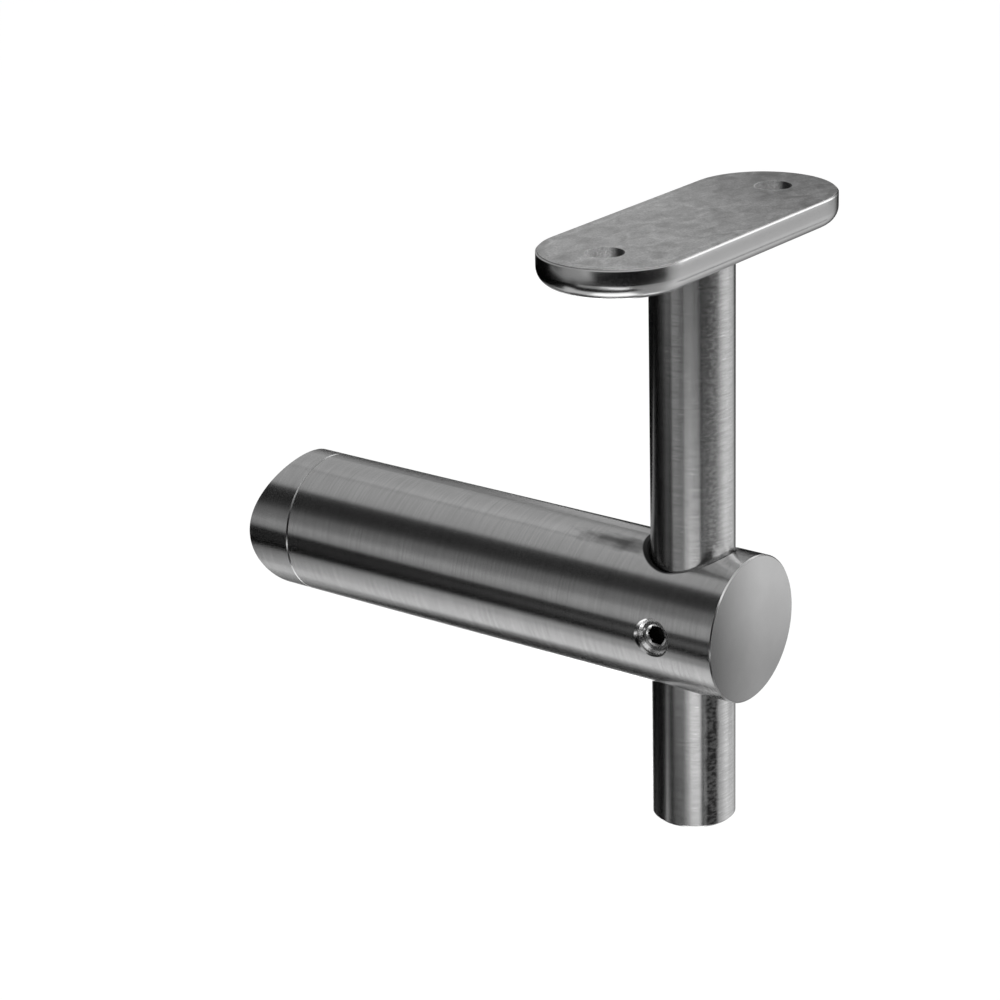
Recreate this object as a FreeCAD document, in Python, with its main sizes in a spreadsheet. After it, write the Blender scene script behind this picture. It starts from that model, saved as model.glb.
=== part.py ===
# Handrail bracket for a round steel post.
#
# A straight bar stands out level from the post. A short adaptor, coped to the post's
# round, closes the bar's inner end. A vertical spindle passes through the bar near its
# free end and carries a round-ended saddle plate for the rail. A socket set screw in
# the bar's side clamps the spindle at its height.
#
# Frame: millimetres, +Z up. The origin is on the bar's axis at the deepest point of the
# cope, where it meets the post. +X runs along the bar away from the post, and the
# saddle plate's long axis is +Y.
import FreeCAD, Part
import Sketcher
import math
import os

ORIGIN_POINT = (-1, 1)      # a sketch's own origin, as constraints name it
H_AXIS = -1                 # a sketch's horizontal axis, as constraints name it
V_AXIS = -2                 # a sketch's vertical axis
START, END, CENTRE = 1, 2, 3
UP = FreeCAD.Vector(0, 0, 1)
FULL_TURN = 360
HEX_SIDES = 6
SAMPLE_STEPS = 8            # an edge is looked at in this many steps
NEAR = 1e-4                 # two lengths closer than this are the same

doc = FreeCAD.newDocument("handrail_bracket")


# ---------------------------------------------------------------- driving sizes

sizes = doc.addObject("Spreadsheet::Sheet", "sizes")

TABLE = (
    ("arm_diameter", "25", "round bar that stands out from the post"),
    ("arm_length", "90", "bar alone, from the adaptor to its free end"),
    ("arm_edge", "0.2", "edge break at both ends of the bar"),
    ("post_diameter", "42.4", "round post that the adaptor is coped to"),
    ("adaptor_length", "5", "adaptor on the bar's axis, from post to bar"),
    ("adaptor_edge", "0.2", "edge break where the adaptor meets the bar"),
    ("cope_edge", "0.25", "edge break round the cope"),
    ("adaptor_spigot_diameter", "14", "spigot that centres the adaptor in the bar"),
    ("adaptor_spigot_length", "3", "how far that spigot reaches into the bar"),
    ("adaptor_spigot_clearance", "0.05", "radial gap round that spigot"),
    ("spigot_end_gap", "0.3", "gap left past the end of either spigot"),
    ("bolt_hole_diameter", "8.5", "clearance hole for the M8 bolt from the post"),
    ("bolt_thread_diameter", "6.8", "wall of the M8 tapped hole in the bar"),
    ("bolt_thread_depth", "25", "full depth of that hole from the bar's end"),
    ("bolt_thread_lead", "0.9", "lead-in chamfer at its mouth"),
    ("drill_point_angle", "118", "included angle at the bottom of a drilled hole"),
    ("spindle_diameter", "14", "round spindle that carries the saddle plate"),
    ("spindle_clearance", "0.2", "radial running gap in the bar's cross bore"),
    ("spindle_inset", "11.5", "spindle's axis from the bar's free end"),
    ("spindle_drop", "36", "spindle's lower end below the bar's axis"),
    ("spindle_edge", "0.4", "edge break at the spindle's lower end"),
    ("spindle_spigot_diameter", "8", "spigot on top that seats in the plate"),
    ("spindle_spigot_length", "2.8", "height of that spigot"),
    ("spindle_spigot_clearance", "0.05", "radial gap round that spigot"),
    ("bore_edge", "0.45", "edge break at both mouths of the cross bore"),
    ("rail_height", "68", "top of the saddle plate above the bar's axis"),
    ("plate_width", "25", "saddle plate across the bar's direction"),
    ("plate_length", "66.6", "saddle plate end to end"),
    ("plate_thickness", "5.2", "saddle plate, flat top to flat underside"),
    ("plate_under_radius", "2.65", "rounding of the plate's lower edge"),
    ("plate_top_edge", "0.3", "polished break of the plate's top edge"),
    ("rail_screw_spacing", "48", "rail screws, hole to hole"),
    ("rail_screw_hole", "6", "clearance hole for a rail screw"),
    ("rail_screw_head", "10.6", "countersink at the underside"),
    ("rail_screw_head_angle", "90", "included angle of that countersink"),
    ("set_screw_diameter", "6", "M6 socket set screw"),
    ("set_screw_recess", "1.5", "set screw's face below the bar's side"),
    ("set_screw_clearance", "0.05", "radial gap to its threaded hole"),
    ("set_screw_edge", "0.5", "chamfer round the face and the tip"),
    ("set_screw_hole_edge", "0.3", "chamfer at the mouth of its hole"),
    ("hex_across_flats", "3", "hexagon socket"),
    ("hex_depth", "2.2", "hexagon socket, from the screw's face"),
    ("hex_lead_diameter", "3.9", "countersink at the socket's mouth"),
    ("hex_lead_angle", "120", "included angle of that countersink"),
)

for row, (alias, number, remark) in enumerate(TABLE, start=1):
    sizes.set(f"A{row}", remark)
    sizes.set(f"B{row}", number)
    sizes.setAlias(f"B{row}", alias)
doc.recompute()


# ---------------------------------------------------------------- small helpers

def new_body(name):
    """A body whose label is the name of the file it is written to."""
    body = doc.addObject("PartDesign::Body", name)
    body.Label = name
    return body


def new_sketch(body, plane_role, name):
    """An empty sketch on one of the body's own origin planes."""
    plane = next(f for f in body.Origin.OriginFeatures if f.Role == plane_role)
    sketch = body.newObject("Sketcher::SketchObject", name)
    sketch.AttachmentSupport = [(plane, "")]
    sketch.MapMode = "FlatFace"
    return sketch


def bind(sketch, name, formula, *constraint):
    """Add one dimension, name it and tie its value to the sheet."""
    index = sketch.addConstraint(Sketcher.Constraint(*constraint))
    sketch.renameConstraint(index, name)
    sketch.setExpression(f"Constraints.{name}", formula)


def fix_point(sketch, name, geometry, point, along, up):
    """Hold a point at (along, up) from the sketch's origin; "0" means on the axis."""
    here = sketch.getPoint(geometry, point)
    if along == "0":
        sketch.addConstraint(Sketcher.Constraint("PointOnObject", geometry, point, V_AXIS))
    else:
        bind(sketch, f"{name}_along", along,
             "DistanceX", *ORIGIN_POINT, geometry, point, here.x)
    if up == "0":
        sketch.addConstraint(Sketcher.Constraint("PointOnObject", geometry, point, H_AXIS))
    else:
        bind(sketch, f"{name}_up", up,
             "DistanceY", *ORIGIN_POINT, geometry, point, here.y)


def add_outline(sketch, corners):
    """A closed run of straight lines through corners given as pairs of formulas.

    The corners start anywhere in the right order, here along a rising curve, and the
    dimensions carry each of them to its place.
    """
    starts = [FreeCAD.Vector(1 + i, 1 + i * i, 0) for i in range(len(corners))]
    count = len(corners)
    for i in range(count):
        sketch.addGeometry(Part.LineSegment(starts[i], starts[(i + 1) % count]), False)
    for i in range(count):
        after = (i + 1) % count
        sketch.addConstraint(Sketcher.Constraint("Coincident", i, END, after, START))
    for i, (along, up) in enumerate(corners):
        fix_point(sketch, f"corner{i}", i, START, along, up)


def add_circle(sketch, name, radius, along="0", up="0"):
    """A circle of a given radius formula, centred at (along, up)."""
    index = sketch.addGeometry(Part.Circle(FreeCAD.Vector(), UP, 1), False)
    bind(sketch, f"{name}_radius", radius, "Radius", index, 1)
    if (along, up) == ("0", "0"):
        sketch.addConstraint(
            Sketcher.Constraint("Coincident", index, CENTRE, *ORIGIN_POINT))
    else:
        fix_point(sketch, name, index, CENTRE, along, up)


def turn(body, kind, name, sketch, axis):
    """A Revolution or a Groove: the sketch turned fully round one of its own axes."""
    feature = body.newObject(f"PartDesign::{kind}", name)
    feature.Profile = sketch
    feature.ReferenceAxis = (sketch, [axis])
    feature.Angle = FULL_TURN
    doc.recompute()
    return feature


def cut_through(body, name, sketch, sides, along_normal=False):
    """A pocket that runs right out of the body, on one side of the sketch or on both."""
    pocket = body.newObject("PartDesign::Pocket", name)
    pocket.Profile = sketch
    pocket.Type = "ThroughAll"
    pocket.SideType = sides
    pocket.Reversed = along_normal
    doc.recompute()
    return pocket


def cut_to_depth(body, name, sketch, depth, along_normal=False):
    """A pocket of one depth, against the sketch's normal unless told otherwise."""
    pocket = body.newObject("PartDesign::Pocket", name)
    pocket.Profile = sketch
    pocket.Type = "Length"
    pocket.Reversed = along_normal
    pocket.setExpression("Length", depth)
    doc.recompute()
    return pocket


def break_edges(body, kind, name, base, wanted, size_property, size):
    """A Chamfer or a Fillet on every edge of base that wanted() accepts."""
    edges = [f"Edge{i}" for i, edge in enumerate(base.Shape.Edges, start=1) if wanted(edge)]
    if not edges:
        raise RuntimeError(f"{name} found no edges on {base.Name}")
    feature = body.newObject(f"PartDesign::{kind}", name)
    feature.Base = (base, edges)
    feature.setExpression(size_property, size)
    doc.recompute()
    return feature


def samples(edge):
    """A few points spread along an edge."""
    first, last = edge.ParameterRange
    step = (last - first) / SAMPLE_STEPS
    return [edge.valueAt(first + step * i) for i in range(SAMPLE_STEPS + 1)]


def on_cylinder(edge, radius, distance):
    """True if a curved edge lies all along at this radius, measured by distance()."""
    if isinstance(edge.Curve, Part.Line):
        return False
    return all(abs(distance(point) - radius) < NEAR for point in samples(edge))


def from_x_axis(point):
    return math.hypot(point.y, point.z)


def from_upright_line(x):
    """Measures how far a point is from the vertical line through (x, 0)."""
    return lambda point: math.hypot(point.x - x, point.y)


def from_crosswise_line(x):
    """Measures how far a point is from the line along Y through that x, at z = 0."""
    return lambda point: math.hypot(point.x - x, point.z)


def place(body, x="0", y="0", z="0"):
    """Put the body at a position given by formulas."""
    for axis, formula in (("x", x), ("y", y), ("z", z)):
        body.setExpression(f"Placement.Base.{axis}", formula)


SPINDLE_X = "sizes.adaptor_length + sizes.arm_length - sizes.spindle_inset"
SCREW_LENGTH = "(sizes.arm_diameter - sizes.spindle_diameter) / 2 - sizes.set_screw_recess"


# ---------------------------------------------------------------- arm

def make_arm():
    """The bar, turned to length. Its own X starts at the end towards the post."""
    body = new_body("arm")

    # bar with both end edges broken
    outline = new_sketch(body, "XZ_Plane", "arm_outline")
    radius = "sizes.arm_diameter / 2"
    add_outline(outline, (
        ("0", "0"),
        ("0", f"{radius} - sizes.arm_edge"),
        ("sizes.arm_edge", radius),
        ("sizes.arm_length - sizes.arm_edge", radius),
        ("sizes.arm_length", f"{radius} - sizes.arm_edge"),
        ("sizes.arm_length", "0"),
    ))
    turn(body, "Revolution", "arm_bar", outline, "H_Axis")

    # post end: seat for the adaptor's spigot, then the tapped hole and its drill point
    seat_radius = "sizes.adaptor_spigot_diameter / 2 + sizes.adaptor_spigot_clearance"
    seat_depth = "sizes.adaptor_spigot_length + sizes.spigot_end_gap"
    thread_radius = "sizes.bolt_thread_diameter / 2"
    point_depth = f"{thread_radius} / tan(sizes.drill_point_angle / 2 * 1 deg)"
    bore = new_sketch(body, "XZ_Plane", "post_end_outline")
    add_outline(bore, (
        ("0", "0"),
        ("0", seat_radius),
        (seat_depth, seat_radius),
        (seat_depth, f"{thread_radius} + sizes.bolt_thread_lead"),
        (f"{seat_depth} + sizes.bolt_thread_lead", thread_radius),
        ("sizes.bolt_thread_depth", thread_radius),
        (f"sizes.bolt_thread_depth + {point_depth}", "0"),
    ))
    turn(body, "Groove", "post_end_bore", bore, "H_Axis")

    # vertical cross bore for the spindle
    spindle_along = "sizes.arm_length - sizes.spindle_inset"
    bore_radius = "sizes.spindle_diameter / 2 + sizes.spindle_clearance"
    cross = new_sketch(body, "XY_Plane", "spindle_bore_circle")
    add_circle(cross, "bore", bore_radius, along=spindle_along)
    cut_through(body, "spindle_bore", cross, "Symmetric")

    # threaded hole for the set screw, from the -Y side into the cross bore
    side = new_sketch(body, "XZ_Plane", "set_screw_circle")
    add_circle(side, "hole", "sizes.set_screw_diameter / 2 + sizes.set_screw_clearance",
               along=spindle_along)
    screw_hole = cut_through(body, "set_screw_hole", side, "One side", along_normal=True)

    # broken edges where those holes come out through the bar's round side
    bar_wall = sizes.arm_diameter / 2
    bore_wall = sizes.spindle_diameter / 2 + sizes.spindle_clearance
    hole_wall = sizes.set_screw_diameter / 2 + sizes.set_screw_clearance
    from_spindle = from_upright_line(sizes.arm_length - sizes.spindle_inset)
    from_screw = from_crosswise_line(sizes.arm_length - sizes.spindle_inset)

    def is_bore_mouth(edge):
        return (on_cylinder(edge, bar_wall, from_x_axis)
                and on_cylinder(edge, bore_wall, from_spindle))

    def is_screw_mouth(edge):
        return (on_cylinder(edge, bar_wall, from_x_axis)
                and on_cylinder(edge, hole_wall, from_screw))

    mouths = break_edges(body, "Chamfer", "bore_mouths", screw_hole, is_bore_mouth,
                         "Size", "sizes.bore_edge")
    break_edges(body, "Chamfer", "set_screw_mouth", mouths, is_screw_mouth,
                "Size", "sizes.set_screw_hole_edge")

    place(body, x="sizes.adaptor_length")
    return body


# ---------------------------------------------------------------- post adaptor

def make_post_adaptor():
    """The coped end piece: a turned ring with a spigot, cut out to the post's round."""
    body = new_body("post_adaptor")
    radius = "sizes.arm_diameter / 2"
    hole = "sizes.bolt_hole_diameter / 2"
    spigot = "sizes.adaptor_spigot_diameter / 2"
    blank_end = "-sizes.post_diameter / 2"      # past the cope's widest reach
    ring = new_sketch(body, "XZ_Plane", "adaptor_outline")
    add_outline(ring, (
        (blank_end, hole),
        (blank_end, radius),
        ("sizes.adaptor_length - sizes.adaptor_edge", radius),
        ("sizes.adaptor_length", f"{radius} - sizes.adaptor_edge"),
        ("sizes.adaptor_length", spigot),
        ("sizes.adaptor_length + sizes.adaptor_spigot_length", spigot),
        ("sizes.adaptor_length + sizes.adaptor_spigot_length", hole),
    ))
    turn(body, "Revolution", "adaptor_ring", ring, "H_Axis")

    # cope: the upright post's own cylinder, cut clean through
    post = new_sketch(body, "XY_Plane", "post_circle")
    add_circle(post, "post", "sizes.post_diameter / 2", along="-sizes.post_diameter / 2")
    cope = cut_through(body, "cope", post, "Symmetric")

    post_wall = sizes.post_diameter / 2
    from_post = from_upright_line(-post_wall)

    def is_cope_rim(edge):
        return (on_cylinder(edge, post_wall, from_post)
                and on_cylinder(edge, sizes.arm_diameter / 2, from_x_axis))

    break_edges(body, "Chamfer", "cope_rim", cope, is_cope_rim, "Size", "sizes.cope_edge")
    place(body)
    return body


# ---------------------------------------------------------------- spindle

def make_spindle():
    """The vertical rod. Its own Z starts at the lower end."""
    body = new_body("spindle")
    radius = "sizes.spindle_diameter / 2"
    spigot = "sizes.spindle_spigot_diameter / 2"
    shoulder = "sizes.spindle_drop + sizes.rail_height - sizes.plate_thickness"
    outline = new_sketch(body, "XZ_Plane", "spindle_outline")
    add_outline(outline, (
        ("0", "0"),
        (f"{radius} - sizes.spindle_edge", "0"),
        (radius, "sizes.spindle_edge"),
        (radius, shoulder),
        (spigot, shoulder),
        (spigot, f"{shoulder} + sizes.spindle_spigot_length"),
        ("0", f"{shoulder} + sizes.spindle_spigot_length"),
    ))
    turn(body, "Revolution", "spindle_rod", outline, "V_Axis")
    place(body, x=SPINDLE_X, z="-sizes.spindle_drop")
    return body


# ---------------------------------------------------------------- saddle plate

def make_saddle_plate():
    """The round-ended plate under the rail. Its own Z starts at the flat underside."""
    body = new_body("saddle_plate")
    half_width = sizes.plate_width / 2
    half_straight = (sizes.plate_length - sizes.plate_width) / 2

    # outline: two straight sides along Y and two half-round ends
    outline = new_sketch(body, "XY_Plane", "plate_outline")
    far_end = Part.Circle(FreeCAD.Vector(0, half_straight, 0), UP, half_width)
    near_end = Part.Circle(FreeCAD.Vector(0, -half_straight, 0), UP, half_width)
    outline.addGeometry([
        Part.LineSegment(FreeCAD.Vector(half_width, -half_straight, 0),
                         FreeCAD.Vector(half_width, half_straight, 0)),
        Part.ArcOfCircle(far_end, 0, math.pi),
        Part.LineSegment(FreeCAD.Vector(-half_width, half_straight, 0),
                         FreeCAD.Vector(-half_width, -half_straight, 0)),
        Part.ArcOfCircle(near_end, math.pi, 2 * math.pi),
    ], False)
    for first, second in ((0, 1), (1, 2), (2, 3), (3, 0)):
        outline.addConstraint(Sketcher.Constraint("Tangent", first, END, second, START))
    outline.addConstraint(Sketcher.Constraint("Vertical", 0))
    outline.addConstraint(Sketcher.Constraint("Symmetric", 1, CENTRE, 3, CENTRE, *ORIGIN_POINT))
    outline.addConstraint(Sketcher.Constraint("Equal", 1, 3))
    bind(outline, "end_radius", "sizes.plate_width / 2", "Radius", 1, half_width)
    bind(outline, "straight", "sizes.plate_length - sizes.plate_width",
         "DistanceY", 0, START, 0, END, 2 * half_straight)

    slab = body.newObject("PartDesign::Pad", "plate_slab")
    slab.Profile = outline
    slab.setExpression("Length", "sizes.plate_thickness")
    doc.recompute()

    # lower edge rounded over, top edge just broken
    def is_flat_at(height):
        return lambda edge: all(abs(point.z - height) < NEAR for point in samples(edge))

    rounded = break_edges(body, "Fillet", "plate_under_edge", slab, is_flat_at(0),
                          "Radius", "sizes.plate_under_radius")
    break_edges(body, "Chamfer", "plate_top_edge", rounded,
                is_flat_at(sizes.plate_thickness), "Size", "sizes.plate_top_edge")

    # blind seat for the spindle's spigot, sunk up from the underside
    seat = new_sketch(body, "XY_Plane", "spigot_seat_circle")
    add_circle(seat, "seat",
               "sizes.spindle_spigot_diameter / 2 + sizes.spindle_spigot_clearance")
    cut_to_depth(body, "spigot_seat", seat,
                 "sizes.spindle_spigot_length + sizes.spigot_end_gap", along_normal=True)

    # rail screws: two clearance holes, countersunk at the underside
    screws = new_sketch(body, "XY_Plane", "rail_screw_circles")
    for name, sign in (("far", ""), ("near", "-")):
        add_circle(screws, name, "sizes.rail_screw_hole / 2",
                   up=f"{sign}sizes.rail_screw_spacing / 2")
    doc.recompute()
    holes = body.newObject("PartDesign::Hole", "rail_screw_holes")
    holes.Profile = screws
    holes.Reversed = True
    holes.DepthType = "ThroughAll"
    holes.setExpression("Diameter", "sizes.rail_screw_hole")
    holes.HoleCutType = "Countersink"
    holes.HoleCutCustomValues = True
    holes.setExpression("HoleCutDiameter", "sizes.rail_screw_head")
    holes.setExpression("HoleCutCountersinkAngle", "sizes.rail_screw_head_angle")
    doc.recompute()

    place(body, x=SPINDLE_X, z="sizes.rail_height - sizes.plate_thickness")
    return body


# ---------------------------------------------------------------- set screw

def make_set_screw():
    """The M6 set screw. Its own Z runs from the tip to the socketed face."""
    body = new_body("set_screw")
    radius = "sizes.set_screw_diameter / 2"
    lead = "sizes.hex_lead_diameter / 2"
    lead_depth = f"{lead} / tan(sizes.hex_lead_angle / 2 * 1 deg)"
    outline = new_sketch(body, "XZ_Plane", "screw_outline")
    add_outline(outline, (
        ("0", "0"),
        (f"{radius} - sizes.set_screw_edge", "0"),
        (radius, "sizes.set_screw_edge"),
        (radius, f"{SCREW_LENGTH} - sizes.set_screw_edge"),
        (f"{radius} - sizes.set_screw_edge", SCREW_LENGTH),
        (lead, SCREW_LENGTH),
        ("0", f"{SCREW_LENGTH} - {lead_depth}"),
    ))
    turn(body, "Revolution", "screw_blank", outline, "V_Axis")

    # hexagon socket: six equal sides whose corners lie on one circle
    hexagon = new_sketch(body, "XY_Plane", "hex_outline")
    hexagon.setExpression("AttachmentOffset.Base.z", SCREW_LENGTH)
    corner_radius = sizes.hex_across_flats / math.sqrt(3)
    first = FreeCAD.Vector(corner_radius, 0, 0)
    corners = [FreeCAD.Rotation(UP, FULL_TURN / HEX_SIDES * i).multVec(first)
               for i in range(HEX_SIDES)]
    for i in range(HEX_SIDES):
        after = (i + 1) % HEX_SIDES
        hexagon.addGeometry(Part.LineSegment(corners[i], corners[after]), False)
    ring = hexagon.addGeometry(Part.Circle(FreeCAD.Vector(), UP, corner_radius), True)
    hexagon.addConstraint(Sketcher.Constraint("Coincident", ring, CENTRE, *ORIGIN_POINT))
    for i in range(HEX_SIDES):
        after = (i + 1) % HEX_SIDES
        hexagon.addConstraint(Sketcher.Constraint("Coincident", i, END, after, START))
        hexagon.addConstraint(Sketcher.Constraint("PointOnObject", i, START, ring))
        if after:
            hexagon.addConstraint(Sketcher.Constraint("Equal", 0, after))
    hexagon.addConstraint(Sketcher.Constraint("PointOnObject", 0, START, H_AXIS))
    bind(hexagon, "corner_radius", "sizes.hex_across_flats / sqrt(3)",
         "Radius", ring, corner_radius)
    cut_to_depth(body, "hex_socket", hexagon, "sizes.hex_depth")

    # the screw lies along Y, with its tip on the spindle and its face towards -Y
    body.Placement.Rotation = FreeCAD.Rotation(UP, FreeCAD.Vector(0, -1, 0))
    place(body, x=SPINDLE_X, y="-sizes.spindle_diameter / 2")
    return body


# ---------------------------------------------------------------- build and write

bodies = [
    make_arm(),
    make_post_adaptor(),
    make_spindle(),
    make_saddle_plate(),
    make_set_screw(),
]
doc.recompute()

for item in doc.Objects:
    bad = {"Invalid", "Error"}.intersection(item.State)
    if bad:
        raise RuntimeError(f"{item.Name} is {sorted(bad)}")

ADDING = ("PartDesign::Revolution", "PartDesign::Pad")
CUTTING = ("PartDesign::Groove", "PartDesign::Pocket", "PartDesign::Hole",
           "PartDesign::Chamfer", "PartDesign::Fillet")

for body in bodies:
    volume = 0.0
    for feature in body.Group:
        if feature.TypeId in ADDING and not feature.Shape.Volume > volume:
            raise RuntimeError(f"{feature.Name} added nothing")
        if feature.TypeId in CUTTING and not feature.Shape.Volume < volume:
            raise RuntimeError(f"{feature.Name} cut nothing")
        if feature.TypeId in ADDING + CUTTING:
            volume = feature.Shape.Volume
    if body.Shape.isNull() or not body.Shape.isValid() or len(body.Shape.Solids) != 1:
        raise RuntimeError(f"{body.Label} is not one sound solid")

os.makedirs("parts", exist_ok=True)
for body in bodies:
    body.Shape.exportStep(f"parts/{body.Label}.step")
    box = body.Shape.BoundBox
    print(f"{body.Label:13s} {body.Shape.Volume:9.1f} mm3"
          f"  x {box.XMin:7.2f} {box.XMax:7.2f}"
          f"  y {box.YMin:7.2f} {box.YMax:7.2f}"
          f"  z {box.ZMin:7.2f} {box.ZMax:7.2f}")
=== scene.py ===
# Handrail bracket: studio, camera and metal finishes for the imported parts.
import math

import bmesh
import bpy
import numpy
from mathutils import Matrix, Vector


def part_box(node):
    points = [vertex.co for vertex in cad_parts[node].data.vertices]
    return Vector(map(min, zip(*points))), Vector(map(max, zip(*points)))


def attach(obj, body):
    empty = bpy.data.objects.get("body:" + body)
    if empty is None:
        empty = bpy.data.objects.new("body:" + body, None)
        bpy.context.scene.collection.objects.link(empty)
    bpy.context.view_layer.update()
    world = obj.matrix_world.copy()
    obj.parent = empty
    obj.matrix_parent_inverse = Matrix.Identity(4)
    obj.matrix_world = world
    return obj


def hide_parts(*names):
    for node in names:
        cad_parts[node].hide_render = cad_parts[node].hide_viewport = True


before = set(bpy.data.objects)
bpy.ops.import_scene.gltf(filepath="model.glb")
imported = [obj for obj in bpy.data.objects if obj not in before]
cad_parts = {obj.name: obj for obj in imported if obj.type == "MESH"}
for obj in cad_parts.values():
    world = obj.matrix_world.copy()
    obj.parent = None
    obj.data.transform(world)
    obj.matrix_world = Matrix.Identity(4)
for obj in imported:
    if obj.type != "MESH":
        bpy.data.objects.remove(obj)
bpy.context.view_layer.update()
print("frame loaded:", ", ".join(sorted(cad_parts)))

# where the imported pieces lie
barLow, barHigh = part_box("arm")
spindleLow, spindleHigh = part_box("spindle")
plateLow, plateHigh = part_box("saddle_plate")
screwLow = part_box("set_screw")[0]
spindlePlace = ((spindleLow.x + spindleHigh.x) / 2, 0.0, 0.0)


# node helpers

def addNode(tree, kind, inputs=None, **settings):
    node = tree.nodes.new(kind)
    for name, value in settings.items():
        setattr(node, name, value)
    for socket, value in (inputs or {}).items():
        if isinstance(value, bpy.types.NodeSocket):
            tree.links.new(value, node.inputs[socket])
        elif node.inputs[socket].type == "RGBA":
            node.inputs[socket].default_value = (value, value, value, 1.0)
        else:
            node.inputs[socket].default_value = value
    return node


def calc(tree, operation, *values):
    node = addNode(tree, "ShaderNodeMath", dict(enumerate(values)), operation=operation)
    return node.outputs[0]


def blendNumber(tree, factor, low, high):
    node = addNode(tree, "ShaderNodeMix", {"Factor": factor, "A": low, "B": high})
    return node.outputs[0]


def remap(tree, value, fromLow, fromHigh, toLow=0.0, toHigh=1.0, smooth=False):
    node = addNode(tree, "ShaderNodeMapRange", {
        "Value": value, "From Min": fromLow, "From Max": fromHigh,
        "To Min": toLow, "To Max": toHigh,
    }, interpolation_type="SMOOTHSTEP" if smooth else "LINEAR")
    return node.outputs[0]


def newMaterial(name):
    material = bpy.data.materials.new(name)
    material.use_nodes = True
    material.node_tree.nodes.clear()
    return material, material.node_tree


# studio: a cloth tent round the bracket, with pale and dark cards on it, that only reflections see
# A fitting program worked out all the cards but the last three together, and its numbers were rounded.
# Five of them were then changed: front table, front glint, left gap, spindle lamp, back lamp.

studio = {
    "centre": (0.06, 0.0, 0.01),
    "radius": 0.6,
    "meridians": 480, "parallels": 240,
    "cloth": 0.51,          # brightness of the bare cloth
    # azimuth, elevation, half width, half height, tilt and edge softness in degrees; brightness
    "cards": {
        "overhead cloth": (-29, 55, 74, 41, 54, 1, 0.75),
        "grey band left": (-151, 2, 67, 9, 33, 1, 0.24),
        "dark band left": (-143, 30, 54, 14, 48, 1, 0.02),
        "black flag": (-138, -28, 50, 26, -19, 1, 0.0),
        "horizon strip": (-131, -6, 25, 2, -13, 1, 0.55),
        "front table": (-64, -64, 21, 6, -2, 1, 2.0),
        "left table": (-140, -57, 18, 20, -50, 1, 0.9),
        "back corner": (152, -57, 18, 10, -47, 1, 0.0),
        "back spot": (126, -37, 5, 12, -20, 1, 3.5),
        "back pool": (96, -67, 16, 9, -8, 1, 2.1),
        "right side": (52, -27, 23, 17, -23, 17, 1.15),
        "right slot": (59, -25, 12, 2, 2, 2, 0.2),
        "front dark": (-35, 1, 51, 23, 16, 6, 0.0),
        "back strip": (108, 2, 24, 25, -60, 9, 0.0),
        "right softbox": (19, 20, 34, 6, -20, 2, 3.5),
        "table below": (-62, -81, 19, 12, -2, 1, 2.5),
        "back softbox": (77, 36, 11, 10, 16, 1, 2.5),
        "back shade": (147, -15, 13, 7, 9, 1, 0.0),
        "front glint": (-56, -25, 19, 3, -9, 4, 3.5),
        "back glint": (123, 11, 2, 11, -5, 1, 1.1),
        "left gap": (-88, -22, 21, 3, -7, 5, 0.95),
        "left shade": (-120, -11, 12, 2, 9, 1, 0.0),
        "spindle lamp": (-16, 54, 18, 12, 0, 4, 1.3),
        "back lamp": (48, 13, 20, 7, 0, 3, 2.4),
        "left edge shade": (166, -15, 17, 20, 0, 4, 0.0),
        "table gap": (-72, -47, 38, 11, 0, 2, 0.0),
        "seam": (163, 53, 2, 9, 0, 1, 0.38),
    },
}


def smoothRamp(value, low, high):
    step = numpy.clip((value - low) / (high - low), 0.0, 1.0)
    return step * step * (3.0 - 2.0 * step)


def cardMask(direction, azimuth, elevation, halfWidth, halfHeight, tilt, softness):
    # the card's own axes: it faces the centre along x, lies wide along y and tall along z
    turn = (Matrix.Rotation(math.radians(azimuth), 3, "Z")
            @ Matrix.Rotation(math.radians(-elevation), 3, "Y")
            @ Matrix.Rotation(math.radians(tilt), 3, "X"))
    x, y, z = (direction @ numpy.array(turn)).T
    across = numpy.degrees(numpy.abs(numpy.arctan2(y, x)))
    up = numpy.degrees(numpy.abs(numpy.arcsin(numpy.clip(z, -1.0, 1.0))))
    return (smoothRamp(across, halfWidth + softness, halfWidth - softness)
            * smoothRamp(up, halfHeight + softness, halfHeight - softness))


def makeTent():
    # a fine flat grid wrapped into a sphere, with each card's brightness painted on its points
    bpy.ops.mesh.primitive_grid_add(
        x_subdivisions=studio["meridians"], y_subdivisions=studio["parallels"], size=2.0)
    tent = bpy.context.object
    tent.name = "light_tent"
    flat = numpy.empty(len(tent.data.vertices) * 3)
    tent.data.vertices.foreach_get("co", flat)
    azimuth, elevation = (flat.reshape(-1, 3)[:, :2] * (math.pi, math.pi / 2)).T
    direction = numpy.column_stack((
        numpy.cos(azimuth) * numpy.cos(elevation),
        numpy.sin(azimuth) * numpy.cos(elevation),
        numpy.sin(elevation)))
    glow = numpy.full(len(direction), studio["cloth"])
    for *card, brightness in studio["cards"].values():
        glow += (brightness - glow) * cardMask(direction, *card)
    tent.data.attributes.new("glow", "FLOAT", "POINT").data.foreach_set("value", glow)
    tent.data.vertices.foreach_set("co", (direction * studio["radius"] + studio["centre"]).ravel())

    material, tree = newMaterial("tent_cloth")
    painted = addNode(tree, "ShaderNodeAttribute", attribute_name="glow")
    light = addNode(tree, "ShaderNodeEmission", {"Strength": painted.outputs["Fac"]})
    addNode(tree, "ShaderNodeOutputMaterial", {"Surface": light.outputs[0]})
    tent.data.materials.append(material)
    tent.visible_camera = False
    tent.visible_diffuse = False
    tent.visible_shadow = False
    tent.visible_transmission = False


floorLook = {"height": -0.30, "size": 12.0, "colour": 0.35, "glow": 0.72}


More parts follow.
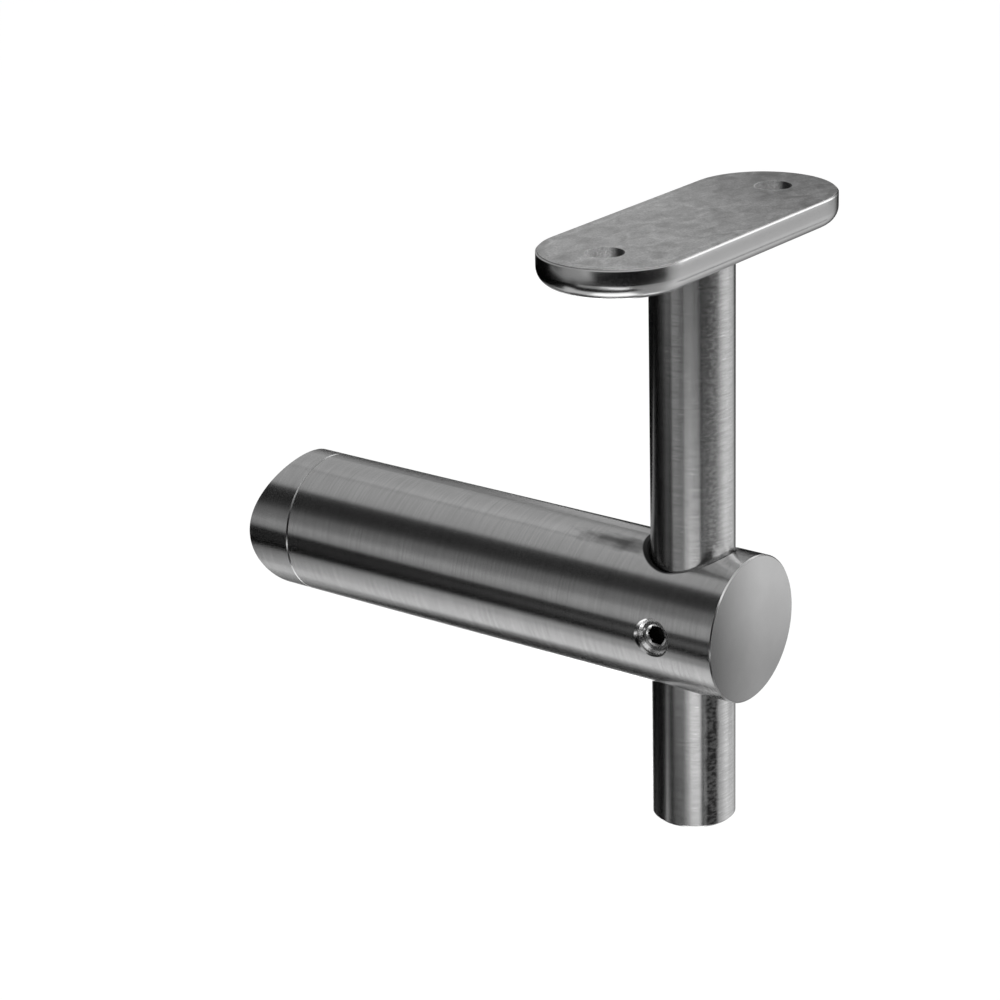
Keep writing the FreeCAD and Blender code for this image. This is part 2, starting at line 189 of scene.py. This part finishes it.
def makeFloor():
    material, tree = newMaterial("pale_floor")
    matt = addNode(tree, "ShaderNodeBsdfDiffuse", {"Color": floorLook["colour"]})
    rays = addNode(tree, "ShaderNodeLightPath")
    seen = calc(tree, "MULTIPLY", rays.outputs["Is Camera Ray"], floorLook["glow"])
    glow = addNode(tree, "ShaderNodeEmission", {"Strength": seen})
    both = addNode(tree, "ShaderNodeAddShader", {0: matt.outputs[0], 1: glow.outputs[0]})
    addNode(tree, "ShaderNodeOutputMaterial", {"Surface": both.outputs[0]})
    bpy.ops.mesh.primitive_plane_add(size=floorLook["size"])
    floor = bpy.context.object
    floor.name = "floor"
    floor.data.transform(Matrix.Translation((0, 0, floorLook["height"])))
    floor.data.materials.append(material)
    floor.visible_glossy = False


air = {"light": 0.8, "backdrop": 1.0}      # strength on the bracket, and as the camera sees it


def makeWorld():
    world = bpy.data.worlds.new("studio_air")
    bpy.context.scene.world = world
    world.use_nodes = True
    world.node_tree.nodes.clear()
    tree = world.node_tree
    light = addNode(tree, "ShaderNodeBackground", {"Color": 1.0, "Strength": air["light"]})
    backdrop = addNode(tree, "ShaderNodeBackground", {"Color": 1.0, "Strength": air["backdrop"]})
    rays = addNode(tree, "ShaderNodeLightPath")
    mixed = addNode(tree, "ShaderNodeMixShader", {
        0: rays.outputs["Is Camera Ray"], 1: light.outputs[0], 2: backdrop.outputs[0]})
    addNode(tree, "ShaderNodeOutputWorld", {"Surface": mixed.outputs[0]})


# two large soft lamps for the floor and for whatever is not mirror-like
lamps = {
    "key": {"place": (0.55, -0.60, 0.80), "size": 0.80, "power": 2.0},
    "fill": {"place": (-0.70, -0.35, 0.65), "size": 0.90, "power": 1.2},
}


def makeLamps():
    for name, lamp in lamps.items():
        data = bpy.data.lights.new(name, "AREA")
        data.size = lamp["size"]
        data.energy = lamp["power"]
        light = bpy.data.objects.new(name, data)
        bpy.context.scene.collection.objects.link(light)
        light.location = lamp["place"]
        aim = Vector(studio["centre"]) - light.location
        light.rotation_euler = aim.to_track_quat("-Z", "Y").to_euler()
        light.visible_glossy = False


camera = {      # worked out by a camera fit too
    "place": (0.3393, -0.3826, 0.1919),
    "heading": 127.45, "tilt": -19.29, "roll": -1.467,      # degrees
    "lens": 107.67, "sensor": 36.0,                         # millimetres
    "shift": (-0.0109, -0.0583),
    "nearest": 0.01,
}


def makeCamera():
    data = bpy.data.cameras.new("camera")
    data.lens = camera["lens"]
    data.sensor_width = camera["sensor"]
    data.shift_x, data.shift_y = camera["shift"]
    data.clip_start = camera["nearest"]
    eye = bpy.data.objects.new("camera", data)
    bpy.context.scene.collection.objects.link(eye)
    heading = Matrix.Rotation(math.radians(camera["heading"] - 90), 4, "Z")
    tilt = Matrix.Rotation(math.radians(camera["tilt"] + 90), 4, "X")
    roll = Matrix.Rotation(math.radians(camera["roll"]), 4, "Z")
    eye.matrix_world = Matrix.Translation(camera["place"]) @ heading @ tilt @ roll
    bpy.context.scene.camera = eye


makeTent()
makeFloor()
makeWorld()
makeLamps()
makeCamera()
bpy.context.scene.view_settings.view_transform = "Standard"
print("studio and camera ready")


# metal finishes, each drawn on its piece's own place

def noiseAt(tree, place, cell, detail=2.0, distortion=0.0):
    scaled = addNode(tree, "ShaderNodeVectorMath", {0: place, 1: cell}, operation="DIVIDE")
    pattern = addNode(tree, "ShaderNodeTexNoise", {
        "Vector": scaled.outputs[0], "Scale": 1.0, "Detail": detail, "Distortion": distortion})
    return pattern.outputs["Fac"]


def vary(tree, value, pattern, amount):
    # value times 1, give or take the pattern's swing about its middle
    swing = calc(tree, "MULTIPLY_ADD", pattern, amount, 1.0 - amount / 2)
    return calc(tree, "MULTIPLY", value, swing)


def darken(tree, grey, where, amount):
    kept = calc(tree, "SUBTRACT", 1.0, calc(tree, "MULTIPLY", where, amount))
    return calc(tree, "MULTIPLY", grey, kept)


def fade(tree, value, full, gone):
    # 1 where value is at full, 0 where it is at gone
    return remap(tree, value, gone, full, smooth=True)


def distanceTo(tree, first, second):
    flat = addNode(tree, "ShaderNodeCombineXYZ", {0: first, 1: second})
    return addNode(tree, "ShaderNodeVectorMath", {0: flat.outputs[0]}, operation="LENGTH").outputs["Value"]


def finishMetal(tree, look, grey, roughness, height, axis=None, ground=None):
    bump = addNode(tree, "ShaderNodeBump", {"Strength": 1.0, "Distance": 1.0, "Height": height})
    inputs = {"Base Color": grey, "Metallic": 1.0, "Roughness": roughness, "Normal": bump.outputs[0]}
    if axis:
        grain = addNode(tree, "ShaderNodeTangent", direction_type="RADIAL", axis=axis).outputs[0]
        if ground:
            # its flat end is ground up and down, not turned
            grain = addNode(tree, "ShaderNodeMix", {0: ground, 4: grain, 5: (0.0, 0.0, 1.0)},
                            data_type="VECTOR").outputs[1]
        inputs.update({"Anisotropic": look["anisotropy"], "Anisotropic Rotation": 0.25, "Tangent": grain})
    surface = addNode(tree, "ShaderNodeBsdfPrincipled", inputs)
    addNode(tree, "ShaderNodeOutputMaterial", {"Surface": surface.outputs[0]})


# broken edges of the turned pieces: their width, and how far in and out of them a finish fades
edge = {"width": 0.00022, "inner": 0.00040, "innerEnd": 0.00030, "sharp": 0.00001, "turnOver": 0.002}


def groundFace(tree, look, along):
    # 1 on the flat end beyond faceFrom
    return fade(tree, along, look["faceFrom"], look["faceFrom"] - edge["sharp"] * 2)


def turnedSteel(name, look, marks):
    # fine rings round the piece's axis, along its side and across its faces; marks adds its own wear and
    # painted shade
    material, tree = newMaterial(name)
    place = addNode(tree, "ShaderNodeTexCoord")
    shifted = addNode(tree, "ShaderNodeVectorMath", {0: place.outputs["Object"], 1: look["centre"]},
                      operation="SUBTRACT").outputs[0]
    axes = addNode(tree, "ShaderNodeSeparateXYZ", {0: shifted}).outputs
    first, second = [axes[letter] for letter in "XYZ" if letter != look["axis"]]
    outward = distanceTo(tree, first, second)
    along = axes[look["axis"]]
    turned = addNode(tree, "ShaderNodeCombineXYZ", {
        0: calc(tree, "ADD", along, outward), 1: first, 2: second})
    ringWidth, strokeLength = look["ring"]
    rings = noiseAt(tree, turned.outputs[0], (ringWidth, strokeLength, strokeLength))
    side = fade(tree, outward, look["radius"] - edge["width"], look["radius"] - edge["inner"])
    rings = blendNumber(tree, calc(tree, "MULTIPLY_ADD", side, 1.0 - look["faceRings"], look["faceRings"]),
                        0.5, rings)
    cloud = noiseAt(tree, shifted, (look["cloudSize"],) * 3, detail=3.0)
    grey = vary(tree, vary(tree, look["grey"], rings, look["ringContrast"]), cloud, look["cloudContrast"])
    roughness = vary(tree, look["roughness"], rings, look["ringGloss"])
    height = calc(tree, "MULTIPLY", rings, look["ringDepth"])
    grey, roughness, height = marks(tree, look, shifted, axes, outward, grey, roughness, height)
    ground = groundFace(tree, look, along) if "faceFrom" in look else None
    finishMetal(tree, look, grey, roughness, height, look["axis"], ground)
    return material


def brokenEdge(tree, look, along, up, outward, grey, roughness):
    # a broken edge is rougher than the faces beside it, and its greys are painted light and shade:
    # they differ above and below the axis, and the bar's edge at the joint is painted dark
    radius, width = look["radius"], edge["width"]
    outer = calc(tree, "MULTIPLY", fade(tree, outward, radius - width, radius - edge["innerEnd"]),
                 fade(tree, outward, radius - edge["sharp"], radius))
    for plane, above, below in look["edges"]:
        gap = calc(tree, "ABSOLUTE", calc(tree, "SUBTRACT", along, plane))
        here = calc(tree, "MULTIPLY", outer, fade(tree, gap, width, width + edge["sharp"]))
        paintedEdgeGrey = remap(tree, up, -edge["turnOver"], edge["turnOver"], below, above)
        grey = blendNumber(tree, here, grey, paintedEdgeGrey)
        roughness = blendNumber(tree, here, roughness, look["edgeRoughness"])
    return grey, roughness


def threadWave(tree, along, first, second, outward, look):
    # height of a helical groove round an axis, rising one pitch a turn
    turn = calc(tree, "DIVIDE", calc(tree, "ARCTAN2", second, first), 2 * math.pi)
    phase = calc(tree, "ADD", calc(tree, "DIVIDE", along, look["pitch"]), turn)
    wave = calc(tree, "PINGPONG", phase, 0.5)
    inside = calc(tree, "MULTIPLY", fade(tree, outward, look["wall"], look["wall"] + look["fade"]),
                  fade(tree, along, look["end"], look["end"] + look["runOut"]))
    return calc(tree, "MULTIPLY", calc(tree, "MULTIPLY", wave, inside), look["depth"] * 2)


satin = {
    "axis": "X", "centre": (0.0, 0.0, 0.0), "radius": barHigh.z,
    "grey": 0.50, "roughness": 0.242, "anisotropy": 0.85,
    "ring": (0.00030, 0.007),           # ring width, length of a stroke
    "ringDepth": 0.0000018, "ringContrast": 0.30, "ringGloss": 0.10, "faceRings": 0.0,
    "cloudSize": 0.005, "edgeRoughness": 0.30,
}

bar = {
    **satin, "cloudContrast": 0.16,
    # each broken edge: its place along the bar, its painted grey above and below
    "edges": ((barLow.x, 0.10, 0.10), (barHigh.x, 0.42, 0.18)),
    # a dull smear beside the cross bore, such as a deburring wheel leaves
    "smear": {"centre": (0.0720, -0.0042), "reach": (0.0105, 0.0020), "darkness": 0.80,
              "rag": (0.003, 0.0012, 0.004), "raggedness": 0.9, "core": 0.5, "rim": 1.6,
              "top": (0.004, 0.002)},
    # painted shade: a dark lip on the bore's edge, on the free end's side, for the shade in the gap
    "lip": {"centre": spindlePlace[0] - 0.0006, "radius": 0.00785, "inner": 0.0002, "outer": 0.0001,
            "swing": 0.004, "grey": 0.015},
    # the free end's face is ground; its duller side is a stand-in for shade
    "faceFrom": barHigh.x - 0.00001, "faceShade": {"full": -0.0165, "gone": 0.0040, "amount": 0.75},
    "boltThread": {"pitch": 0.00125, "wall": 0.0035, "depth": 0.0006, "end": 0.030,
                   "fade": 0.00008, "runOut": 0.0005},
}


def barMarks(tree, look, place, axes, outward, grey, roughness, height):
    smear = look["smear"]
    offsets = []
    for letter, middle, reach in zip("XY", smear["centre"], smear["reach"]):
        offsets.append(calc(tree, "DIVIDE", calc(tree, "SUBTRACT", axes[letter], middle), reach))
    ragged = calc(tree, "MULTIPLY", noiseAt(tree, place, smear["rag"], detail=3.0), smear["raggedness"])
    spread = calc(tree, "ADD", distanceTo(tree, *offsets), ragged)
    smeared = calc(tree, "MULTIPLY", fade(tree, spread, smear["core"], smear["rim"]),
                   fade(tree, axes["Z"], *smear["top"]))
    grey = darken(tree, grey, smeared, smear["darkness"])
    # painted shade on the bore's edge beside the spindle
    lip = look["lip"]
    pastBore = calc(tree, "SUBTRACT", axes["X"], lip["centre"])
    fromBore = distanceTo(tree, pastBore, axes["Y"])
    paintedLipShade = calc(tree, "MULTIPLY",
                 fade(tree, fromBore, lip["radius"] - lip["inner"], lip["radius"] + lip["outer"]),
                 fade(tree, pastBore, 0.0, lip["swing"]))
    grey = blendNumber(tree, paintedLipShade, grey, lip["grey"])
    faceShade = look["faceShade"]
    shade = fade(tree, axes["Y"], faceShade["gone"], faceShade["full"])
    dimSide = calc(tree, "MULTIPLY", groundFace(tree, look, axes["X"]), calc(tree, "SUBTRACT", 1.0, shade))
    grey = darken(tree, grey, dimSide, faceShade["amount"])
    grey, roughness = brokenEdge(tree, look, axes["X"], axes["Z"], outward, grey, roughness)
    thread = threadWave(tree, axes["X"], axes["Y"], axes["Z"], outward, look["boltThread"])
    return grey, roughness, calc(tree, "ADD", height, thread)


# the joint's broken edge, with its painted grey above and below
adaptor = {**satin, "cloudContrast": 0.24, "edges": ((barLow.x, 0.34, 0.42),)}


def adaptorMarks(tree, look, place, axes, outward, grey, roughness, height):
    grey, roughness = brokenEdge(tree, look, axes["X"], axes["Z"], outward, grey, roughness)
    return grey, roughness, height


spindle = {
    "axis": "Z", "centre": spindlePlace, "radius": (spindleHigh.x - spindleLow.x) / 2,
    "grey": 0.50, "roughness": 0.227, "anisotropy": 0.78,
    "ring": (0.00028, 0.003),
    "ringDepth": 0.0000020, "ringContrast": 0.45, "ringGloss": 0.10, "faceRings": 0.3,
    "cloudSize": 0.003, "cloudContrast": 0.22,
    # a strip on one side is scuffed: dark blotches in it, and bright ticks round it; below the bar it is
    # painted dark as a reflection
    "scuff": {"heading": -31.0, "inner": 9.0, "outer": 17.0,                # degrees
              "wander": 8.0, "wanderSize": (0.002, 0.002, 0.003),
              "blotch": (0.0009, 0.0009, 0.0005), "blotchFull": 0.64, "blotchGone": 0.36,
              "darkness": 0.32, "below": 0.92, "solidBelow": 0.75, "darkReflectionFrom": -0.012},
    "ticks": {"size": (0.0016, 0.0016, 0.00018), "share": 0.68, "softness": 0.06, "lift": 0.35},
}


def spindleMarks(tree, look, place, axes, outward, grey, roughness, height):
    scuff = look["scuff"]
    heading = calc(tree, "ARCTAN2", axes["Y"], axes["X"])
    aside = calc(tree, "ABSOLUTE", calc(tree, "SUBTRACT", heading, math.radians(scuff["heading"])))
    wander = calc(tree, "MULTIPLY", noiseAt(tree, place, scuff["wanderSize"], detail=3.0),
                  math.radians(scuff["wander"]))
    strip = fade(tree, calc(tree, "ADD", aside, wander),
                 math.radians(scuff["inner"]), math.radians(scuff["outer"]))
    blotches = fade(tree, noiseAt(tree, place, scuff["blotch"], detail=3.0),
                    scuff["blotchFull"], scuff["blotchGone"])
    # below the bar the strip is nearly solid: a painted dark reflection
    darkness = remap(tree, axes["Z"], 0.0, scuff["darkReflectionFrom"], scuff["darkness"], scuff["below"])
    paintedReflection = remap(tree, axes["Z"], 0.0, scuff["darkReflectionFrom"], 0.0, scuff["solidBelow"])
    blotchesAndReflection = blendNumber(tree, paintedReflection, blotches, 1.0)
    grey = darken(tree, grey, calc(tree, "MULTIPLY", strip, blotchesAndReflection), darkness)
    ticks = look["ticks"]
    tick = fade(tree, noiseAt(tree, place, ticks["size"]),
                ticks["share"] + ticks["softness"], ticks["share"])
    grey = calc(tree, "MULTIPLY", grey, calc(tree, "MULTIPLY_ADD", tick, ticks["lift"], 1.0))
    return grey, roughness, height


plate = {
    "centre": spindlePlace,
    "skinHeight": plateHigh.z - 0.0001, "skinFade": 0.00006,    # as cast above this, polished below it
    "polished": {"grey": 0.45, "roughness": 0.22, "cloudContrast": 0.10},
    "cast": {"grey": 0.56, "roughness": 0.40, "glossContrast": 0.3},
    "cloud": (0.0024, 0.0036, 0.004), "cloudContrast": 1.2, "cloudStir": 0.8,
    "grain": 0.00030, "grainContrast": 0.8, "grainDepth": 0.000020,
    # the holes' walls carry painted shade on one side and a painted highlight on the other
    # the direction below points square to the camera's heading, towards the shaded side
    "hole": {"spacing": 0.048, "radius": 0.0032, "fade": 0.00005, "shadeTowards": (0.794, 0.608),
             "shadeSpan": (0.75, 0.25), "shade": 0.85, "highlight": 0.2, "roughness": 0.60},
    # the wall's upper part is shaded as if rolled inward: height it starts at, and how fast it curves
    "crown": {"start": 0.0656, "curve": 40.0},
    "rim": {"radius": (plateHigh.x - plateLow.x) / 2, "straight": 0.0208,
            "inset": 0.0017, "width": 0.0005, "lift": 0.10},
    # the end beyond the spindle is darker
    "farEndDarkening": {"full": 0.026, "gone": 0.014, "ragged": 0.010, "amount": 0.18},
}


def castPlate(name, look):
    material, tree = newMaterial(name)
    place = addNode(tree, "ShaderNodeTexCoord")
    shifted = addNode(tree, "ShaderNodeVectorMath", {0: place.outputs["Object"], 1: look["centre"]},
                      operation="SUBTRACT").outputs[0]
    axes = addNode(tree, "ShaderNodeSeparateXYZ", {0: shifted}).outputs
    across, up = axes["X"], axes["Z"]
    along = calc(tree, "ABSOLUTE", axes["Y"])

    # the as-cast skin: the top face and the walls of the screw holes
    holes = look["hole"]
    top = fade(tree, up, look["skinHeight"] + look["skinFade"], look["skinHeight"])
    pastHole = calc(tree, "SUBTRACT", along, holes["spacing"] / 2)
    fromHole = distanceTo(tree, across, pastHole)
    hole = fade(tree, fromHole, holes["radius"] - holes["fade"], holes["radius"] + holes["fade"])
    alongHole = calc(tree, "MULTIPLY", pastHole, calc(tree, "SIGN", axes["Y"]))
    # painted shade on one side of each hole's wall
    shadeAcross, shadeAlong = holes["shadeTowards"]
    sideways = calc(tree, "ADD", calc(tree, "MULTIPLY", across, shadeAcross),
                    calc(tree, "MULTIPLY", alongHole, shadeAlong))
    shadedSide = fade(tree, sideways, *[holes["radius"] * share for share in holes["shadeSpan"]])
    holeShade = calc(tree, "MULTIPLY", calc(tree, "MULTIPLY", shadedSide, hole), holes["shade"])
    skin = calc(tree, "MAXIMUM", top, hole)

    cloud = noiseAt(tree, shifted, look["cloud"], detail=5.0, distortion=look["cloudStir"])
    grain = noiseAt(tree, shifted, (look["grain"],) * 3, detail=3.0)
    castGrey = vary(tree, vary(tree, look["cast"]["grey"], cloud, look["cloudContrast"]),
                    grain, look["grainContrast"])
    rim = look["rim"]
    pastStraight = calc(tree, "MAXIMUM", calc(tree, "SUBTRACT", along, rim["straight"]), 0.0)
    inset = calc(tree, "SUBTRACT", rim["radius"] - rim["inset"], distanceTo(tree, across, pastStraight))
    lip = fade(tree, calc(tree, "ABSOLUTE", inset), 0.0, rim["width"])
    castGrey = calc(tree, "MULTIPLY", castGrey, calc(tree, "MULTIPLY_ADD", lip, rim["lift"], 1.0))
    # darker towards the end beyond the spindle
    farEndDarkening = look["farEndDarkening"]
    farEnd = calc(tree, "ADD", axes["Y"], calc(tree, "MULTIPLY", cloud, farEndDarkening["ragged"]))
    towardsFarEnd = fade(tree, farEnd, farEndDarkening["full"], farEndDarkening["gone"])
    castGrey = darken(tree, castGrey, towardsFarEnd, farEndDarkening["amount"])

    # painted shade on one side of the holes' walls, and a painted highlight on the other
    castGrey = darken(tree, castGrey, holeShade, 1.0)
    paintedHighlight = calc(tree, "MULTIPLY", calc(tree, "SUBTRACT", hole, holeShade), holes["highlight"])
    paintedHighlight = calc(tree, "MAXIMUM", paintedHighlight, 0.0)
    castGrey = calc(tree, "MULTIPLY", castGrey, calc(tree, "ADD", 1.0, paintedHighlight))
    polished = look["polished"]
    polishedGrey = vary(tree, polished["grey"], cloud, polished["cloudContrast"])
    grey = blendNumber(tree, skin, polishedGrey, castGrey)
    castRoughness = vary(tree, look["cast"]["roughness"], cloud, look["cast"]["glossContrast"])
    roughness = blendNumber(tree, skin, polished["roughness"], castRoughness)
    roughness = blendNumber(tree, hole, roughness, holes["roughness"])
    crown = look["crown"]
    above = calc(tree, "MAXIMUM", calc(tree, "SUBTRACT", up, crown["start"]), 0.0)
    rolled = calc(tree, "MULTIPLY", calc(tree, "MULTIPLY", above, above), -crown["curve"])
    blasted = calc(tree, "MULTIPLY", grain, look["grainDepth"])
    height = blendNumber(tree, skin, rolled, blasted)
    finishMetal(tree, look, grey, roughness, height)
    return material


screw = {
    "centre": (spindlePlace[0], screwLow.y, 0.0),       # middle of the socketed face
    "grey": 0.80, "roughness": 0.28,
    "socket": {"radius": 0.00182, "radiusFade": 0.00005, "depth": 0.0001, "depthFade": 0.0002,
               "grey": 0.07, "contrast": 1.2},
    "scuffs": 0.00030, "scuffContrast": 0.3, "scuffGloss": 0.5, "scuffDepth": 0.000004,
}


def screwSteel(name, look):
    # bright faces, with painted shade in the socket
    material, tree = newMaterial(name)
    place = addNode(tree, "ShaderNodeTexCoord")
    shifted = addNode(tree, "ShaderNodeVectorMath", {0: place.outputs["Object"], 1: look["centre"]},
                      operation="SUBTRACT").outputs[0]
    axes = addNode(tree, "ShaderNodeSeparateXYZ", {0: shifted}).outputs
    scuffs = noiseAt(tree, shifted, (look["scuffs"],) * 3, detail=3.0)
    socket = look["socket"]
    outward = distanceTo(tree, axes["X"], axes["Z"])
    within = fade(tree, outward, socket["radius"] - socket["radiusFade"],
                  socket["radius"] + socket["radiusFade"])
    below = fade(tree, axes["Y"], socket["depth"] + socket["depthFade"], socket["depth"])
    # painted shade in the socket
    socketShade = calc(tree, "MULTIPLY", within, below)
    bright = vary(tree, look["grey"], scuffs, look["scuffContrast"])
    grey = blendNumber(tree, socketShade, bright, vary(tree, socket["grey"], scuffs, socket["contrast"]))
    roughness = vary(tree, look["roughness"], scuffs, look["scuffGloss"])
    finishMetal(tree, look, grey, roughness, calc(tree, "MULTIPLY", scuffs, look["scuffDepth"]))
    return material


finishes = {
    "arm": turnedSteel("satin_bar", bar, barMarks),
    "post_adaptor": turnedSteel("satin_end", adaptor, adaptorMarks),
    "spindle": turnedSteel("turned_spindle", spindle, spindleMarks),
    "saddle_plate": castPlate("cast_plate", plate),
    "set_screw": screwSteel("bright_screw", screw),
}
for node, finish in finishes.items():
    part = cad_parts[node]
    part.material_slots[0].material = finish
print("finishes assigned")


# threads: a ridge of triangular section wound on a helix, made by one node tree

screwThread = {
    "centre": spindlePlace, "pitch": 0.001, "stepsPerTurn": 48,
    "filled": 0.96,                     # share of the pitch that the ridge's foot takes
    "blankRadius": 0.0025,              # the screw's body below its ridge
}
holeRidge = {"start": screwLow.y - 0.0006, "turns": 4.1, "crest": 0.00260, "root": 0.00306}
screwRidge = {"start": screwLow.y + 0.0005, "turns": 3.0, "crest": 0.00295, "root": 0.00248}


def newTree(name, inputs):
    tree = bpy.data.node_groups.new(name, "GeometryNodeTree")
    sockets = {}
    for label, kind in inputs.items():
        sockets[label] = tree.interface.new_socket(name=label, in_out="INPUT", socket_type=kind).identifier
    tree.interface.new_socket(name="Geometry", in_out="OUTPUT", socket_type="NodeSocketGeometry")
    return tree, sockets


def makeThreadTree():
    tree, sockets = newTree("helical_thread", {
        "pitch": "NodeSocketFloat", "filled": "NodeSocketFloat", "turns": "NodeSocketFloat",
        "crest": "NodeSocketFloat", "root": "NodeSocketFloat",
        "steps": "NodeSocketInt", "finish": "NodeSocketMaterial",
    })
    given = addNode(tree, "NodeGroupInput").outputs
    # a strip of four rows, each a helix: root, crest, root and the first again, which closes it
    grid = addNode(tree, "GeometryNodeMeshGrid", {
        "Size X": 1.0, "Size Y": 3.0, "Vertices X": given["steps"], "Vertices Y": 4})
    position = addNode(tree, "GeometryNodeInputPosition").outputs[0]
    place = addNode(tree, "ShaderNodeSeparateXYZ", {0: position})
    row = calc(tree, "ROUND", calc(tree, "ADD", place.outputs["Y"], 1.5))
    across = calc(tree, "MULTIPLY", calc(tree, "SUBTRACT", calc(tree, "FLOORED_MODULO", row, 3.0), 1.0), 0.5)
    run = calc(tree, "MULTIPLY", calc(tree, "ADD", place.outputs["X"], 0.5), given["turns"])
    angle = calc(tree, "MULTIPLY", run, 2 * math.pi)
    onCrest = calc(tree, "COMPARE", row, 1.0, 0.1)
    # the ridge runs out to nothing over the first and last quarter turn
    quarters = 4.0
    fromStart = calc(tree, "MULTIPLY", run, quarters)
    fromEnd = calc(tree, "MULTIPLY", calc(tree, "SUBTRACT", given["turns"], run), quarters)
    runOut = calc(tree, "MINIMUM", calc(tree, "MINIMUM", fromStart, fromEnd), 1.0)
    rise = calc(tree, "MULTIPLY", calc(tree, "SUBTRACT", given["crest"], given["root"]), onCrest)
    radius = calc(tree, "ADD", given["root"], calc(tree, "MULTIPLY", rise, runOut))
    width = calc(tree, "MULTIPLY", calc(tree, "MULTIPLY", across, given["filled"]), runOut)
    along = calc(tree, "MULTIPLY", calc(tree, "ADD", run, width), given["pitch"])
    wound = addNode(tree, "ShaderNodeCombineXYZ", {
        0: calc(tree, "MULTIPLY", radius, calc(tree, "COSINE", angle)),
        1: along,
        2: calc(tree, "MULTIPLY", radius, calc(tree, "SINE", angle))})
    ridge = addNode(tree, "GeometryNodeSetPosition", {
        "Geometry": grid.outputs["Mesh"], "Position": wound.outputs[0]})
    real = addNode(tree, "GeometryNodeRealizeInstances", {0: ridge.outputs[0]})
    coated = addNode(tree, "GeometryNodeSetMaterial", {
        "Geometry": real.outputs[0], "Material": given["finish"]})
    addNode(tree, "NodeGroupOutput", {0: coated.outputs[0]})
    return tree, sockets


def windThread(name, ridge, finish, twist):
    # the ridge round the screw's axis, its start twisted round by this angle
    tree, sockets = threadTree
    mesh = bpy.data.meshes.new(name)
    piece = bpy.data.objects.new(name, mesh)
    bpy.context.scene.collection.objects.link(piece)
    wound = piece.modifiers.new("wound", "NODES")
    wound.node_group = tree
    values = {
        "pitch": screwThread["pitch"], "filled": screwThread["filled"], "turns": ridge["turns"],
        "crest": ridge["crest"], "root": ridge["root"],
        "steps": int(ridge["turns"] * screwThread["stepsPerTurn"]), "finish": finish,
    }
    for label, value in values.items():
        wound[sockets[label]] = value
    evaluated = piece.evaluated_get(bpy.context.evaluated_depsgraph_get())
    piece.data = bpy.data.meshes.new_from_object(evaluated)
    piece.modifiers.remove(wound)
    x, y, z = screwThread["centre"]
    piece.data.transform(Matrix.Rotation(-twist, 4, "Y"))
    piece.data.transform(Matrix.Translation((x, ridge["start"], z)))
    # the last row meets the first, and both ends run out to a point
    form = bmesh.new()
    form.from_mesh(piece.data)
    bmesh.ops.remove_doubles(form, verts=form.verts, dist=0.000001)
    bmesh.ops.recalc_face_normals(form, faces=form.faces)
    form.to_mesh(piece.data)
    form.free()
    return piece


def makeThreads():
    # the screw's ridge lies half a pitch from the hole's
    offset = (screwRidge["start"] - holeRidge["start"]) / screwThread["pitch"] - 0.5
    inner = windThread("hole_thread", holeRidge, finishes["set_screw"], 0.0)
    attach(inner, "bar")

    # the screw: its blank turned down to the thread's root, and the ridge wound on it
    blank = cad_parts["set_screw"]
    ridge = windThread("screw_ridge", screwRidge, finishes["set_screw"], offset * 2 * math.pi)
    form = bmesh.new()
    form.from_mesh(blank.data)
    form.transform(blank.matrix_world)
    bmesh.ops.remove_doubles(form, verts=form.verts, dist=0.000001)
    axis = Vector(screwThread["centre"])
    for point in form.verts:
        outward = Vector((point.co.x - axis.x, 0.0, point.co.z - axis.z))
        if outward.length > screwThread["blankRadius"]:
            pulled = outward.normalized() * screwThread["blankRadius"]
            point.co = (axis.x + pulled.x, point.co.y, axis.z + pulled.z)
    form.from_mesh(ridge.data)
    mesh = bpy.data.meshes.new("threaded_screw")
    form.to_mesh(mesh)
    form.free()
    mesh.materials.append(finishes["set_screw"])
    bpy.data.objects.remove(ridge)
    piece = bpy.data.objects.new("threaded_screw", mesh)
    bpy.context.scene.collection.objects.link(piece)
    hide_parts("set_screw")
    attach(piece, "set_screw")


threadTree = makeThreadTree()
makeThreads()
print("threads wound")
